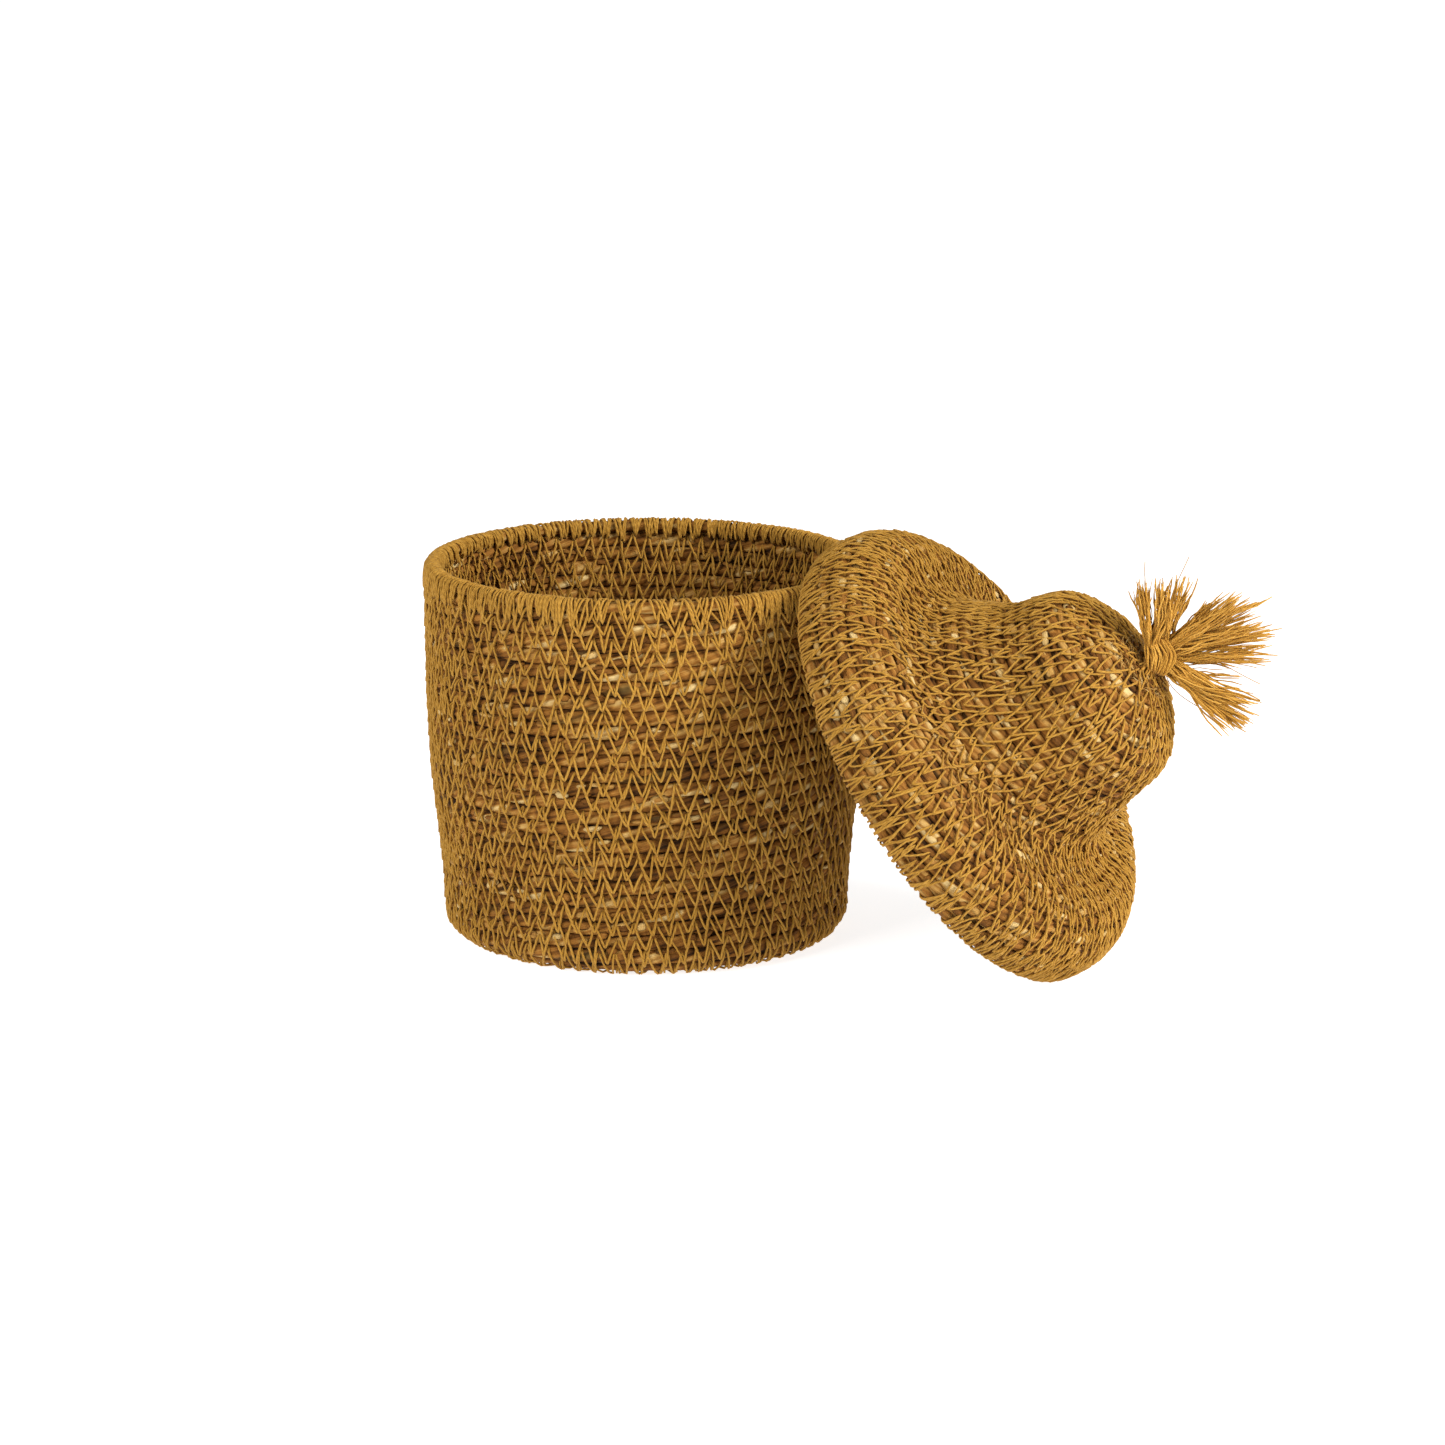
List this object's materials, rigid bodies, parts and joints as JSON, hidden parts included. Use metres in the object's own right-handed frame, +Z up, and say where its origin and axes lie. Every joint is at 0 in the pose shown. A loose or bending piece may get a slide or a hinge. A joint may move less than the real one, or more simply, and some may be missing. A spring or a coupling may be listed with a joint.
{
  "type": "lidded wicker basket",
  "caption": "Round coiled seagrass basket with zigzag thread stitching and a separate hat-shaped lid with a domed knob and yarn tassel.",
  "frame": {"origin": "centre of the basket's underside, on the surface it stands on", "axes": "+Z up the basket's own axis; +X towards the side where the lid leans, which also turns a little towards -Y"},
  "size_m": [0.2998, 0.2122, 0.1524],
  "materials": {
    "seagrass_coil": "matte twisted plant fibre in browns, straw and olive",
    "stitch_thread": "ochre cotton thread, slight sheen",
    "tassel_yarn": "mustard cotton yarn, soft and fibrous"
  },
  "bodies": {
    "basket": {"base_coil": "seagrass_coil", "heel_coil": "seagrass_coil", "wall_coil": "seagrass_coil", "rim_coil": "seagrass_coil", "rim_binding": "stitch_thread"},
    "lid": {"lid_edge_coil": "seagrass_coil", "lid_edge_binding": "stitch_thread", "lid_skirt_coil": "seagrass_coil", "lid_shoulder_coil": "seagrass_coil", "lid_brim_coil": "seagrass_coil", "lid_neck_coil": "seagrass_coil", "lid_knob_coil": "seagrass_coil", "tassel_cord": "tassel_yarn", "tassel_knot": "tassel_yarn"},
    "tassel": {"tassel_head": "tassel_yarn", "tassel_tuft_upper": "tassel_yarn", "tassel_tuft_middle": "tassel_yarn", "tassel_tuft_lower": "tassel_yarn"}
  },
  "joints": [
    {"name": "lid_lift", "type": "slide", "parent": "basket", "child": "lid", "axis": [0, 0, 1], "range_m": [0, 0.16]},
    {"name": "tassel_swing", "type": "hinge", "parent": "lid", "child": "tassel", "pos_m": [0.17958, -0.07588, 0.1187], "axis": [0.3795, 0.9252, 0], "range_deg": [-30, 30]}
  ]
}
